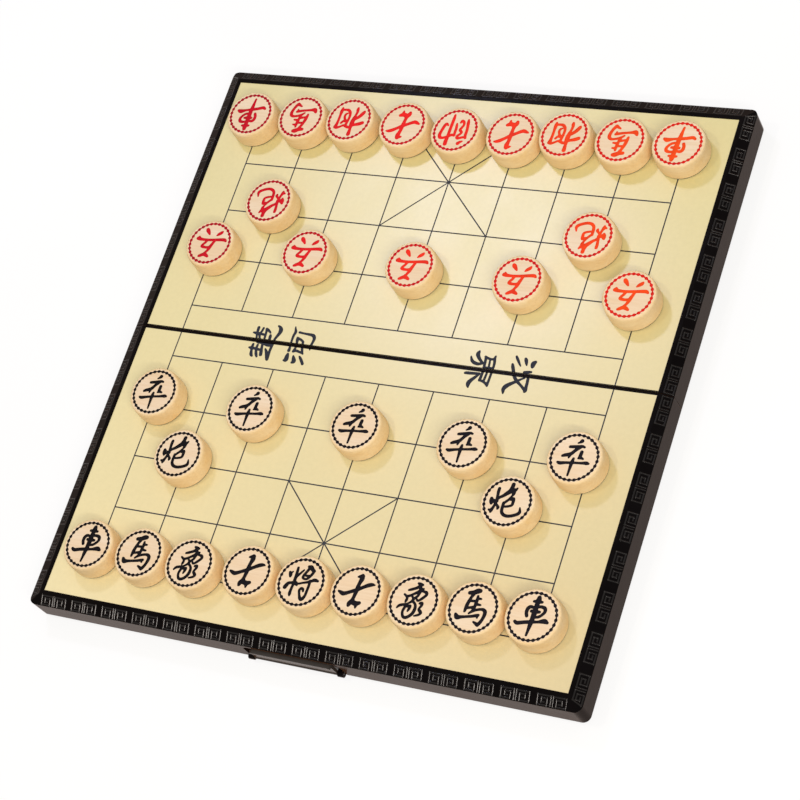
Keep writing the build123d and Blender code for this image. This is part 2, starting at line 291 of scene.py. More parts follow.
RED_SOLDIER = (
    ((158, 88, 12), (174, 96, 20), (190, 98, 20), (208, 88, 18), (219, 82, 12)),
    ((189, 104, 15), (178, 122, 13), (170, 140, 17), (165, 160, 19), (158, 180, 15),
     (151, 199, 13)),
    ((175, 150, 15), (195, 147, 13), (215, 148, 15), (227, 152, 13), (222, 165, 13),
     (212, 178, 13), (205, 195, 15)),
    ((73, 209, 9), (85, 216, 18), (110, 214, 17), (150, 207, 15), (190, 201, 14), (225, 198, 14),
     (255, 198, 18), (273, 201, 20)),
    ((262, 204, 16), (269, 214, 7)),
    ((150, 239, 6), (139, 250, 17), (126, 261, 18), (121, 270, 9)),
    ((204, 239, 7), (215, 252, 17), (226, 264, 23), (232, 271, 17)),
)

# Brush strokes of the four words across the river
RIVER_CHU = (
    ((134, 85, 7), (133, 100, 15), (131, 130, 13), (128, 150, 13), (127, 165, 11)),
    ((80, 124, 9), (91, 114, 17), (115, 108, 13), (140, 104, 15), (158, 105, 12)),
    ((80, 158, 9), (96, 148, 15), (116, 140, 13), (136, 136, 13), (157, 137, 11)),
    ((96, 180, 18), (116, 176, 18), (146, 170, 13), (170, 168, 13), (200, 167, 11), (230, 165, 11),
     (252, 163, 11), (271, 158, 9), (262, 175, 12), (251, 190, 9), (246, 195, 5)),
    ((236, 79, 7), (234, 100, 15), (232, 130, 13), (230, 150, 11), (229, 163, 9)),
    ((200, 112, 9), (226, 106, 11), (250, 103, 14), (272, 102, 16)),
    ((196, 136, 9), (216, 128, 11), (235, 119, 11)),
    ((235, 125, 11), (255, 133, 11), (272, 136, 11)),
    ((176, 128, 12), (172, 170, 13), (166, 190, 13), (163, 210, 15), (167, 232, 13)),
    ((188, 172, 18), (186, 200, 22), (186, 232, 20)),
    ((200, 203, 14), (221, 201, 17), (231, 199, 11)),
    ((72, 232, 16), (96, 223, 19), (120, 211, 15), (137, 198, 7)),
    ((71, 234, 16), (100, 232, 17), (130, 232, 13), (160, 234, 15), (182, 237, 13), (206, 237, 13),
     (230, 246, 15), (254, 256, 20), (274, 257, 24), (291, 247, 15), (299, 232, 7)),
)
RIVER_HE = (
    ((80, 98, 8), (85, 112, 24), (105, 112, 24), (124, 112, 12)),
    ((72, 157, 10), (82, 168, 24), (100, 160, 18), (116, 153, 7)),
    ((72, 232, 14), (86, 222, 15), (100, 211, 14), (112, 200, 11), (118, 194, 5)),
    ((148, 110, 18), (165, 110, 13), (190, 108, 9), (220, 106, 11), (250, 107, 13), (274, 112, 15),
     (295, 104, 8), (308, 100, 3)),
    ((146, 142, 13), (152, 160, 13), (148, 180, 11), (141, 205, 9), (136, 211, 5)),
    ((146, 141, 13), (170, 148, 11), (200, 146, 11), (224, 142, 17), (239, 138, 9)),
    ((235, 142, 13), (228, 165, 11), (217, 183, 11)),
    ((142, 206, 9), (165, 196, 13), (190, 189, 13), (215, 185, 11)),
    ((275, 139, 11), (272, 165, 9), (270, 195, 11), (268, 225, 15), (262, 242, 18), (246, 251, 17),
     (225, 250, 13), (205, 246, 13), (186, 244, 9), (170, 247, 5)),
)
RIVER_JIE = (
    ((72, 102, 7), (86, 104, 13), (110, 98, 13), (140, 95, 11), (170, 96, 11), (200, 97, 11),
     (230, 98, 11), (254, 101, 16), (264, 98, 9)),
    ((92, 105, 11), (94, 125, 11), (90, 146, 11), (82, 165, 9)),
    ((98, 130, 7), (120, 127, 9), (150, 124, 9), (180, 124, 9), (210, 126, 11), (238, 129, 11)),
    ((85, 160, 13), (110, 157, 13), (140, 154, 13), (170, 152, 13), (200, 152, 13),
     (234, 155, 15)),
    ((256, 104, 11), (244, 122, 11), (237, 141, 11), (234, 157, 9)),
    ((151, 97, 13), (152, 125, 13), (153, 154, 13)),
    ((126, 168, 11), (110, 188, 13), (92, 205, 17), (73, 216, 22), (60, 214, 16), (52, 212, 7)),
    ((200, 172, 11), (220, 188, 15), (240, 206, 20), (258, 217, 24), (274, 217, 18),
     (288, 212, 5)),
    ((128, 172, 11), (134, 195, 15), (130, 220, 17), (120, 238, 15), (106, 248, 11), (92, 254, 5)),
    ((195, 170, 13), (196, 195, 13), (198, 225, 15), (199, 248, 15), (200, 259, 10)),
)
RIVER_HAN = (
    ((77, 105, 16), (88, 114, 26), (104, 114, 20), (111, 114, 11)),
    ((63, 170, 12), (73, 164, 18), (88, 158, 14), (103, 152, 5)),
    ((56, 230, 9), (67, 222, 13), (86, 208, 11), (104, 195, 7), (113, 187, 3)),
    ((142, 112, 10), (145, 130, 14), (148, 154, 11)),
    ((186, 118, 14), (210, 115, 14), (240, 114, 16), (259, 113, 20), (268, 115, 12)),
    ((255, 122, 14), (240, 140, 12), (225, 160, 12), (210, 180, 16), (190, 200, 16),
     (170, 212, 16), (145, 223, 16), (121, 234, 16), (107, 240, 9)),
    ((184, 140, 7), (195, 160, 9), (208, 178, 14), (222, 200, 16), (236, 221, 20), (252, 239, 24),
     (269, 247, 20), (287, 244, 12), (298, 242, 3)),
)
RIVER_WORDS = (
    # strokes, middle along the seam in file pitches, x of the seam in the drawing, and 1 where
    # the drawing's x runs to the far side or -1 where it runs to the near side
    (RIVER_CHU, -2.34, 188.0, 1),
    (RIVER_HE, -1.65, 188.0, 1),
    (RIVER_JIE, 1.65, 168.0, -1),
    (RIVER_HAN, 2.36, 168.0, -1),
)

SHARED = {"chariot": CHARIOT, "horse": HORSE, "advisor": ADVISOR, "cannon": CANNON}
CHARACTERS = {
    "black": {**SHARED, "elephant": BLACK_ELEPHANT, "general": BLACK_GENERAL,
              "soldier": BLACK_SOLDIER},
    "red": {**SHARED, "elephant": RED_ELEPHANT, "general": RED_GENERAL, "soldier": RED_SOLDIER},
}


# ---- Materials

def rgb(red, green, blue):
    """Linear colour of an sRGB colour given from 0 to 255."""
    def linear(value):
        share = value / 255
        return share / 12.92 if share <= 0.04045 else ((share + 0.055) / 1.055) ** 2.4
    return (linear(red), linear(green), linear(blue), 1.0)


MIX_INPUTS = (0, 6, 7)  # factor and colours of a Mix node
MIX_OUTPUT = 2
WHITE = (1, 1, 1, 1)
BLACK_PLASTIC = (rgb(4, 3, 4), rgb(9, 7, 8))
# The clasp's paler grey-brown is a painted reflection of the floor, as the tray's wall shows it
CLASP_PLASTIC_PAINTED_REFLECTION = (rgb(46, 42, 39), rgb(58, 53, 49))
DUST = rgb(40, 38, 37)
WARM_SHEEN = rgb(222, 146, 92)
WARM_GLOSS = (1.0, 0.94, 0.88, 1.0)
FACE_BEECH = (rgb(240, 216, 184), rgb(236, 204, 163))
# The sides' beech is brighter and yellower than the face's: painted light from the front and
# painted bounce from the yellow film
SIDE_BEECH_PAINTED_LIGHT = (rgb(246, 218, 172), rgb(241, 205, 148))
# Carving paints from the left of the board to the right: the lighter, oranger right end is painted
# glare
BLACK_PAINT_AND_GLARE = (rgb(11, 8, 10), rgb(16, 12, 15), rgb(24, 20, 25))
RED_PAINT_AND_GLARE = (rgb(196, 8, 36), rgb(244, 40, 36), rgb(248, 80, 26))
# The ring's red is darker than the character's: painted shade in the narrow ring groove
RED_RING_PAINT_SHADE_AND_GLARE = (rgb(170, 8, 34), rgb(206, 24, 34), rgb(224, 40, 26))


def set_inputs(node, values):
    """Set inputs of a node by their names, with _ for a space."""
    for name, value in values.items():
        node.inputs[name.replace("_", " ")].default_value = value


class Surface:
    """A node material built step by step around one Principled shader."""

    def __init__(self, name):
        self.material = bpy.data.materials.new(name)
        self.material.use_nodes = True
        self.tree = self.material.node_tree
        self.shader = self.tree.nodes["Principled BSDF"]
        self.place = self.node("TexCoord").outputs["Object"]

    def node(self, kind, **values):
        """A new node of a kind, with its inputs set."""
        node = self.tree.nodes.new("ShaderNode" + kind)
        set_inputs(node, values)
        return node

    def set(self, **values):
        """Set the shader's own sockets to even values."""
        set_inputs(self.shader, values)

    def finish(self, colour, roughness, normal=None):
        """Join what varies over the surface, and give the material."""
        self.join(colour, "Base Color")
        self.join(roughness, "Roughness")
        if normal is not None:
            self.join(normal, "Normal")
        return self.material

    def join(self, output, target):
        """Lead an output to a socket, or to the shader's socket of that name."""
        socket = self.shader.inputs[target] if isinstance(target, str) else target
        self.tree.links.new(output, socket)

    def noise(self, scale, detail=3.0, roughness=0.55, stretch=(1, 1, 1), distortion=0.0,
              shift=0.0):
        """Cloudy pattern, from 0 to 1; a stretch under 1 draws it out along that axis."""
        mapping = self.node("Mapping", Scale=stretch, Location=(shift, shift, shift))
        self.join(self.place, mapping.inputs["Vector"])
        noise = self.node("TexNoise", Scale=scale, Detail=detail, Roughness=roughness,
                          Distortion=distortion)
        self.join(mapping.outputs["Vector"], noise.inputs["Vector"])
        return noise.outputs["Fac"]

    def ramp(self, amount, *stops):
        """Colour of an amount, between stops of a position and a colour."""
        ramp = self.node("ValToRGB")
        elements = ramp.color_ramp.elements
        while len(elements) < len(stops):
            elements.new(0.5)
        for element, (position, colour) in zip(elements, stops):
            element.position = position
            element.color = colour
        self.join(amount, ramp.inputs["Fac"])
        return ramp.outputs["Color"]

    def spread(self, amount, low, high, start=0.3, end=0.7):
        """Value from low to high, as the amount goes from start to end."""
        spread = self.node("MapRange", From_Min=start, From_Max=end, To_Min=low, To_Max=high)
        self.join(amount, spread.inputs["Value"])
        return spread.outputs["Result"]

    def mix(self, amount, first, second, blend="MIX"):
        """Colour mixed from two colours."""
        mix = self.node("Mix")
        mix.data_type = "RGBA"
        mix.blend_type = blend
        for index, value in zip(MIX_INPUTS, (amount, first, second)):
            socket = mix.inputs[index]
            if isinstance(value, (float, tuple)):
                socket.default_value = value
            else:
                self.join(value, socket)
        return mix.outputs[MIX_OUTPUT]

    def bump(self, height, distance, strength, under=None):
        """Normal of a fine relief, over the normal of what lies under it."""
        bump = self.node("Bump", Distance=distance, Strength=strength)
        self.join(height, bump.inputs["Height"])
        if under is not None:
            self.join(under, bump.inputs["Normal"])
        return bump.outputs["Normal"]

    def soft_edges(self, radius):
        """Normal that rounds sharp edges."""
        bevel = self.node("Bevel", Radius=radius)
        bevel.samples = BEVEL_SAMPLES
        return bevel.outputs["Normal"]

    def painted_light_ramp(self, axis):
        """Value from 0 to 1 from one side of the board to the other, along an axis, to drift
        painted light and shade.
        """
        parts = self.node("SeparateXYZ")
        self.join(self.place, parts.inputs["Vector"])
        return self.spread(parts.outputs[axis], 0.0, 1.0, start=-PAINTED_LIGHT_REACH, end=PAINTED_LIGHT_REACH)


def gloss_plastic(name, edge_radius, gloss, dark, pale):
    """Moulded black plastic: glossy, with faint flow marks, dust, soft edges and a warm sheen."""
    surface = Surface(name)
    flow = surface.noise(28, detail=4, stretch=(1, 2.2, 1))
    dust = surface.noise(1400, detail=2, roughness=0.7)
    colour = surface.ramp(flow, (0.3, dark), (0.7, pale))
    specks = surface.spread(dust, 0.0, 0.35, start=0.68, end=0.8)
    edges = surface.soft_edges(edge_radius)
    skin = surface.noise(160, detail=3)
    surface.set(Sheen_Weight=0.2, Sheen_Roughness=0.4, Sheen_Tint=WARM_SHEEN)
    surface.set(Specular_IOR_Level=gloss, Specular_Tint=WARM_GLOSS)
    return surface.finish(surface.mix(specks, colour, DUST), surface.spread(flow, 0.12, 0.22),
                          surface.bump(skin, 0.12 * MM, 0.35, edges))


def printed_film():
    """Cream film under satin lacquer; the near half is painted paler as a painted sheen, and
    deepens to the right as painted shade.
    """
    surface = Surface("cream_film")
    mottle = surface.noise(14, detail=5, roughness=0.6)
    fibre = surface.noise(420, detail=3)
    # Near half: its paler colours are a painted sheen, and its darker right end is painted shade
    near = surface.mix(surface.painted_light_ramp("X"), rgb(241, 224, 171), rgb(217, 197, 146))
    far = surface.mix(surface.spread(mottle, 0.0, 1.0), rgb(219, 203, 138), rgb(224, 209, 145))
    # Near half with its painted sheen and shade; far half in the film's own mottled cream
    board = surface.mix(surface.painted_light_ramp("Y"), near, far)
    grain = surface.ramp(fibre, (0.35, (0.97, 0.97, 0.965, 1)), (0.65, WHITE))
    waves = surface.bump(surface.noise(9, detail=1), 1.2 * MM, 0.2)
    lacquer = surface.bump(surface.noise(900, detail=2), 0.03 * MM, 0.15, waves)
    surface.set(Specular_IOR_Level=0.5)
    return surface.finish(surface.mix(1.0, board, grain, "MULTIPLY"),
                          surface.spread(mottle, 0.27, 0.34), lacquer)


def printing_ink(name, scale, dark, pale):
    """Printing ink, paler where it lies thinner."""
    surface = Surface(name)
    body = surface.noise(scale, detail=4)
    surface.set(Specular_IOR_Level=0.25)
    return surface.finish(surface.ramp(body, (0.35, dark), (0.7, pale)),
                          surface.spread(body, 0.5, 0.65))


def beech(name, pale, deep):
    """Pale turned beech with streaks along X, fine flecks and a satin lacquer."""
    surface = Surface(name)
    figure = surface.noise(60, detail=4, stretch=(0.35, 2.4, 2.4), distortion=0.4)
    streaks = surface.noise(420, detail=4, stretch=(0.12, 2.2, 2.2))
    flecks = surface.noise(1500, detail=2, stretch=(0.25, 1.6, 1.6), shift=3.0)
    base = surface.mix(surface.spread(figure, 0.0, 1.0), pale, deep)
    veins = surface.ramp(streaks, (0.35, (0.94, 0.91, 0.87, 1)), (0.62, WHITE))
    base = surface.mix(1.0, base, veins, "MULTIPLY")
    dark = surface.spread(flecks, 0.0, 0.4, start=0.64, end=0.78)
    surface.set(Specular_IOR_Level=0.3)
    return surface.finish(surface.mix(dark, base, rgb(203, 165, 122)),
                          surface.spread(streaks, 0.45, 0.6),
                          surface.bump(streaks, 0.06 * MM, 0.35))


def carving_paint(name, left, middle, right):
    """Paint in the carving, pooling darker in places; its colour drifts along the board as a
    painted glare, brighter and oranger to the right.
    """
    surface = Surface(name)
    drift = surface.noise(22, detail=2, roughness=0.5)
    pool = surface.noise(260, detail=3)
    # The drift along the board is a painted glare over the paint's own colour
    painted_glare_drift = surface.mix(0.25, surface.painted_light_ramp("X"), drift)
    base = surface.ramp(painted_glare_drift, (0.15, left), (0.45, middle), (0.8, right))
    shade = surface.ramp(pool, (0.3, (0.82, 0.76, 0.76, 1)), (0.6, WHITE))
    surface.set(Specular_IOR_Level=0.08)
    return surface.finish(surface.mix(1.0, base, shade, "MULTIPLY"),
                          surface.spread(pool, 0.55, 0.75),
                          surface.bump(pool, 0.08 * MM, 0.4))


def dull_grain(name, scale, dark, pale, roughness, relief, strength, edge_radius=None):
    """Dull surface with a fine grain, as of rubber or a pressed magnet."""
    surface = Surface(name)
    grain = surface.noise(scale, detail=3)
    edges = None if edge_radius is None else surface.soft_edges(edge_radius)
    return surface.finish(surface.ramp(grain, (0.3, dark), (0.7, pale)),
                          surface.spread(grain, *roughness),
                          surface.bump(grain, relief, strength, edges))


def drawn_steel(name):
    """Bare steel with fine lines along X, the way it was rolled or drawn."""
    surface = Surface(name)
    lines = surface.noise(700, detail=3, stretch=(0.1, 2.0, 2.0))
    stain = surface.noise(40, detail=3)
    surface.set(Metallic=1.0)
    return surface.finish(surface.ramp(stain, (0.3, rgb(168, 168, 166)), (0.7, rgb(196, 196, 197))),
                          surface.spread(lines, 0.22, 0.42),
                          surface.bump(lines, 0.03 * MM, 0.4))


def seen_directly(nodes, links):
    """A value of 1 for rays that carry the picture of a background, 0 for those that light."""
    path = nodes.new("ShaderNodeLightPath")
    total = path.outputs["Is Camera Ray"]
    for name in ("Is Glossy Ray", "Is Transmission Ray"):
        add = nodes.new("ShaderNodeMath")
        add.operation = "MAXIMUM"
        links.new(total, add.inputs[0])
        links.new(path.outputs[name], add.inputs[1])
        total = add.outputs["Value"]
    return total


def floor_paper():
    """Pale paper that is seen close to white, with the object's shadow kept."""
    surface = Surface("floor_paper")
    cloud = surface.noise(3, detail=2)
    colour = surface.ramp(cloud, (0.3, rgb(122, 119, 115)), (0.7, rgb(128, 125, 121)))
    surface.join(colour, "Base Color")
    surface.set(Roughness=0.9, Specular_IOR_Level=0.2, Emission_Color=WHITE)
    lift = surface.node("Math")
    lift.operation = "MULTIPLY"
    lift.inputs[1].default_value = FLOOR_LIFT
    surface.join(seen_directly(surface.tree.nodes, surface.tree.links), lift.inputs[0])
    surface.join(lift.outputs["Value"], "Emission Strength")
    return surface.material


# ---- Pieces

def new_object(name, data):
    """A new object in the scene."""
    thing = bpy.data.objects.new(name, data)
    bpy.context.scene.collection.objects.link(thing)
    return thing


def add_piece(name, vertices, faces, materials, body, face_materials=None,
              smooth_faces=None):
    """A closed mesh in the row frame that rides on a body."""
    mesh = bpy.data.meshes.new(name)
    mesh.from_pydata([tuple(v) for v in vertices], [], [tuple(f) for f in faces])
    for material in materials:
        mesh.materials.append(material)
    if face_materials is not None:
        mesh.polygons.foreach_set("material_index", face_materials)
    if smooth_faces is not None:
        mesh.polygons.foreach_set("use_smooth", smooth_faces)
    shape = bmesh.new()
    shape.from_mesh(mesh)
    bmesh.ops.remove_doubles(shape, verts=shape.verts, dist=MERGE_DISTANCE)
    bmesh.ops.recalc_face_normals(shape, faces=shape.faces)
    shape.to_mesh(mesh)
    shape.free()
    piece = new_object(name, mesh)
    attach(piece, body)
    return piece


def dress(node, material):
    """Give a CAD node its material."""
    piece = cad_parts[node]
    if not piece.material_slots:
        piece.data.materials.append(material)
    for place in piece.material_slots:
        place.material = material


# ---- Brush work

def stroke_run(stroke):
    """Smooth run of points and widths through the points of a stroke."""
    points = np.array(stroke, float)
    ends = np.vstack([2 * points[0] - points[1], points, 2 * points[-1] - points[-2]])
    t = np.linspace(0, 1, SPLINE_STEPS, endpoint=False)[:, None]
    run = []
    for a, b, c, d in zip(ends, ends[1:], ends[2:], ends[3:]):
        cubic = -a + 3 * b - 3 * c + d
        square = 2 * a - 5 * b + 4 * c - d
        run.append(0.5 * (2 * b + (c - a) * t + square * t**2 + cubic * t**3))
    run.append(points[-1:])
    return np.vstack(run)


def brush_field(strokes, x, y):
    """Distance of each point from the brushed area; negative inside it."""
    field = np.full(x.shape, BRUSH_GRID)
    for stroke in strokes:
        run = stroke_run(stroke)
        for a, b in zip(run, run[1:]):
            step = b[:2] - a[:2]
            t = ((x - a[0]) * step[0] + (y - a[1]) * step[1]) / max(step @ step, TINY)
            t = np.clip(t, 0, 1)
            distance = np.hypot(x - a[0] - t * step[0], y - a[1] - t * step[1])
            field = np.minimum(field, distance - (a[2] + (b[2] - a[2]) * t) / 2)
    return field - INK_SPREAD


def ring_field(x, y):
    """Distance from the beaded ring round a character."""
    radius = np.hypot(x - BRUSH_MIDDLE, y - BRUSH_MIDDLE)
    angle = np.arctan2(y - BRUSH_MIDDLE, x - BRUSH_MIDDLE)
    step = 2 * math.pi / RING_BEADS
    ring = RING_RADIUS / BRUSH_UNIT
    along = ((angle / step + 0.5) % 1 - 0.5) * step * ring
    off = radius - ring
    bead = np.hypot(along / BEAD_LENGTH, off / BEAD_WIDTH) * BEAD_WIDTH - BEAD_WIDTH
    return np.minimum(np.abs(off) - RING_LINE / 2, bead) - INK_SPREAD


def outlines(field, origin):
    """Closed outlines of the area where a sampled field is negative, by marching squares."""
    inside = field < 0
    code = inside[:-1, :-1] + 2 * inside[:-1, 1:] + 4 * inside[1:, 1:] + 8 * inside[1:, :-1]
    walks = {  # from one side of a cell to another, keeping the inside on the left
        1: ("BL",), 2: ("RB",), 4: ("TR",), 8: ("LT",), 14: ("LB",), 13: ("BR",), 11: ("RT",),
        7: ("TL",), 3: ("RL",), 6: ("TB",), 12: ("LR",), 9: ("BT",),
        5: ("BL", "TR"), 10: ("RB", "LT"),
    }
    follow = {}
    for row, column in np.argwhere((code > 0) & (code < 15)):
        sides = {"B": (0, row, column), "T": (0, row + 1, column),
                 "L": (1, row, column), "R": (1, row, column + 1)}
        for walk in walks[int(code[row, column])]:
            follow[sides[walk[0]]] = sides[walk[1]]

    def crossing(key):
        upright, row, column = key
        here = field[row, column]
        there = field[row + 1, column] if upright else field[row, column + 1]
        share = here / (here - there)
        x = column + (0 if upright else share)
        y = row + (share if upright else 0)
        return origin + x * FIELD_STEP, origin + y * FIELD_STEP

    loops = []
    while follow:
        start, key = next(iter(follow.items()))
        del follow[start]
        loop = [crossing(start)]
        while key != start:
            loop.append(crossing(key))
            key = follow.pop(key)
        loops.append(loop)
    return loops


def thin_out(loop):
    """Keep only the points of a closed outline that its shape needs."""
    points = np.array(loop)
    far = int(np.argmax(np.hypot(*(points - points[0]).T)))
    closed = np.vstack([points, points[:1]])
    keep = {0, far}
    spans = [(0, far), (far, len(points))]
    while spans:
        first, last = spans.pop()
        if last - first < 2:
            continue
        chord = closed[last] - closed[first]
        away = closed[first + 1:last] - closed[first]
        length = math.hypot(*chord)
        off = np.abs(away[:, 0] * chord[1] - away[:, 1] * chord[0]) / max(length, TINY)
        worst = int(np.argmax(off))
        if off[worst] > OUTLINE_TOLERANCE:
            middle = first + 1 + worst
            keep.add(middle)
            spans += [(first, middle), (middle, last)]
    return [tuple(points[i]) for i in sorted(keep) if i < len(points)]


def face_plan(loops, border):
    """Triangles of the area in a border, as points, plain triangles and inked triangles."""
    points, edges = [], []
    for loop in [border] + loops:
        start = len(points)
        points += [Vector(p) for p in loop]
        edges += [(start + i, start + (i + 1) % len(loop)) for i in range(len(loop))]
    plan = geometry.delaunay_2d_cdt(points, edges, [], 0, PLAN_TOLERANCE, True)
    flat, lines, faces, _, line_sources, _ = plan
    fixed = {frozenset(line) for line, source in zip(lines, line_sources) if source}
    beside = {}
    for index, face in enumerate(faces):
        for a, b in zip(face, face[1:] + face[:1]):
            beside.setdefault(frozenset((a, b)), []).append(index)
    inked = {}
    for key, users in beside.items():
        if len(users) == 1 and users[0] not in inked:
            inked[users[0]] = False
    queue = list(inked)
    while queue:
        index = queue.pop()
        face = faces[index]
        for a, b in zip(face, face[1:] + face[:1]):
            key = frozenset((a, b))
            for other in beside[key]:
                if other not in inked:
                    inked[other] = inked[index] ^ (key in fixed)
                    queue.append(other)
    plain = [tuple(f) for i, f in enumerate(faces) if not inked[i]]
    ink = [tuple(f) for i, f in enumerate(faces) if inked[i]]
    return [tuple(p) for p in flat], plain, ink


def rim_edges(faces):
    """Directed edges that only one of the faces uses."""
    edges = {(a, b) for face in faces for a, b in zip(face, face[1:] + face[:1])}
    return [(a, b) for a, b in edges if (b, a) not in edges]


def brush_samples():
    """Sample points of the drawing grid and the coordinate of the first."""
    origin = BRUSH_MIDDLE - BRUSH_GRID / 2 + FIELD_STEP / 2
    steps = np.arange(origin, BRUSH_MIDDLE + BRUSH_GRID / 2, FIELD_STEP)
    x, y = np.meshgrid(steps, steps)
    return x, y, origin


# ---- Playing pieces

def carved_face(strokes):
    """Plan of a piece's face, in metres about its middle, y away from the reader."""
    x, y, origin = brush_samples()
    field = np.minimum(brush_field(strokes, x, y), ring_field(x, y))
    loops = [thin_out(loop) for loop in outlines(field, origin)]
    radius = FACE_RADIUS / BRUSH_UNIT
    border = [
        (BRUSH_MIDDLE + radius * math.cos(a), BRUSH_MIDDLE + radius * math.sin(a))
        for a in (2 * math.pi * i / PIECE_SEGMENTS for i in range(PIECE_SEGMENTS))
    ]
    points, plain, ink = face_plan(loops, border)
    places = [((px - BRUSH_MIDDLE) * BRUSH_UNIT, (BRUSH_MIDDLE - py) * BRUSH_UNIT)
              for px, py in points]
    return places, plain, ink


def turned(profile, first):
    """Rings of a turned profile and the faces between them, with indices from a first one."""
    vertices, faces = [], []
    for radius, height in profile:
        for i in range(PIECE_SEGMENTS):
            angle = 2 * math.pi * i / PIECE_SEGMENTS
            across, onward = math.cos(angle), math.sin(angle)
            vertices.append((radius * MM * across, radius * MM * onward, height * MM))
    for ring in range(len(profile) - 1):
        for i in range(PIECE_SEGMENTS):
            a = first + ring * PIECE_SEGMENTS + i
            b = first + ring * PIECE_SEGMENTS + (i + 1) % PIECE_SEGMENTS
            faces.append((a, b, b + PIECE_SEGMENTS, a + PIECE_SEGMENTS))
    return vertices, faces


def playing_piece(node, plan, turn, materials):
    """One turned, carved and painted piece in place of its CAD node."""
    low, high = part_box(node)
    height = high.z - low.z
    places, plain, ink = plan
    vertices = [(x, y, height) for x, y in places]
    sunk = sorted({i for face in ink for i in face})
    deep = {index: len(vertices) + i for i, index in enumerate(sunk)}
    vertices += [(*places[index], height - CARVING_DEPTH) for index in sunk]
    on_ring = [math.hypot(*places[face[0]]) > RING_RADIUS - RING_HALF_WIDTH for face in ink]
    floor = [tuple(deep[i] for i in face) for face, ring in zip(ink, on_ring) if not ring]
    groove = [tuple(deep[i] for i in face) for face, ring in zip(ink, on_ring) if ring]
    walls = [(a, b, deep[b], deep[a]) for a, b in rim_edges(ink)]
    side_rings, side = turned(PIECE_PROFILE, len(vertices))
    vertices += side_rings
    magnet_rings, magnet = turned((PIECE_PROFILE[-1],) + MAGNET_PROFILE, len(vertices))
    vertices += magnet_rings
    base = (tuple(range(len(vertices) - PIECE_SEGMENTS, len(vertices))),)
    centre = Vector(((low.x + high.x) / 2, (low.y + high.y) / 2, low.z))
    place = Matrix.Translation(centre) @ Matrix.Rotation(math.radians(turn), 4, "Z")
    groups = (  # faces, number of their material, whether they look smooth
        (plain, 0, False), (floor, 1, False), (groove, 2, False), (walls, 2, False),
        (side, 4, True), (magnet, 3, False), (base, 3, False),
    )
    faces = [face for group, _, _ in groups for face in group]
    kinds = [kind for group, kind, _ in groups for _ in group]
    smooth = [soft for group, _, soft in groups for _ in group]
    placed = [place @ Vector(v) for v in vertices]
    piece = add_piece(f"{node}_carved", placed, faces, materials, node, kinds, smooth)
    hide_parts(node)


def set_out_pieces():
    """Every playing piece, each turned a little as a hand leaves it."""
    face_wood = beech("beech_face", *FACE_BEECH)
    # Side beech with painted light and bounce in its colour
    side_wood_painted_light = beech("beech_side_painted_light", *SIDE_BEECH_PAINTED_LIGHT)
    magnet = dull_grain("dark_magnet", 1600, rgb(30, 27, 24), rgb(52, 47, 42), (0.55, 0.8),
                        0.05 * MM, 0.5)
    # Carving paints whose drift over the board is painted glare; the red ring's darker red is also
    # painted groove shade
    paints = {
        "black": (carving_paint("black_paint_and_glare", *BLACK_PAINT_AND_GLARE),
                  carving_paint("black_ring_paint_and_glare", *BLACK_PAINT_AND_GLARE)),
        "red": (carving_paint("red_paint_and_glare", *RED_PAINT_AND_GLARE),
                carving_paint("red_ring_paint_shade_and_glare", *RED_RING_PAINT_SHADE_AND_GLARE)),
    }
    plans = {}
    hand = random.Random(HAND_SEED)
    for node in sorted(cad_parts):
        colour, _, rest = node.partition("_")
        if colour not in CHARACTERS:
            continue
        strokes = CHARACTERS[colour][rest.split("_")[0]]
        if id(strokes) not in plans:
            plans[id(strokes)] = carved_face(strokes)
        turn = hand.uniform(-HAND_TURN, HAND_TURN) + (180 if colour == "red" else 0)
        materials = (face_wood, *paints[colour], magnet, side_wood_painted_light)
        playing_piece(node, plans[id(strokes)], turn, materials)


# ---- Printed board

def raised_ink(name, points, faces, material, body):
    """A thin closed layer of ink on the film."""
    used = sorted({i for face in faces for i in face})
    number = {index: i for i, index in enumerate(used)}
    count = len(used)
    vertices = [(*points[i], z) for z in (play_z + INK_THICKNESS, play_z) for i in used]
    top = [tuple(number[i] for i in face) for face in faces]
    bottom = [tuple(i + count for i in reversed(face)) for face in top]
    walls = [(b, a, a + count, b + count) for a, b in rim_edges(top)]
    add_piece(name, vertices, top + bottom + walls, (material,), body)


def bar(start, end, width):
    """Rectangle round a straight line, with square ends."""
    a, b = Vector(start), Vector(end)
    along = (b - a).normalized() * width / 2
    side = Vector((-along.y, along.x))
    return [a - along - side, b + along - side, b + along + side, a - along + side]


def grid_lines(side, name, body, material):
    """Ranks, files and palace of one half of the board."""
    half_width = (FILE_COUNT - 1) / 2 * FILE_PITCH
    inner = side * RIVER_WIDTH / 2
    ranks = [inner + side * RANK_PITCH * i for i in range(RANKS_OF_A_SIDE)]
    bars = [((-half_width, y), (half_width, y)) for y in ranks]
    for file in range(FILE_COUNT):
        x = (file - (FILE_COUNT - 1) / 2) * FILE_PITCH
        on_edge = file in (0, FILE_COUNT - 1)
        bars.append(((x, side * (seam_edge + LINE_WIDTH) if on_edge else inner), (x, ranks[-1])))
    for x in (-PALACE_HALF_WIDTH * FILE_PITCH, PALACE_HALF_WIDTH * FILE_PITCH):
        bars.append(((x, ranks[-1]), (-x, ranks[-1 - PALACE_DEPTH])))
    points, faces = [], []
    for start, end in bars:
        faces.append(list(range(len(points), len(points) + 4)))
        points += bar(start, end, LINE_WIDTH)
    plan = geometry.delaunay_2d_cdt(points, [], faces, 1, GRID_TOLERANCE, True)
    flat, _, triangles, _, _, sources = plan
    inked = [tuple(face) for face, source in zip(triangles, sources) if source]
    raised_ink(name, [tuple(p) for p in flat], inked, material, body)


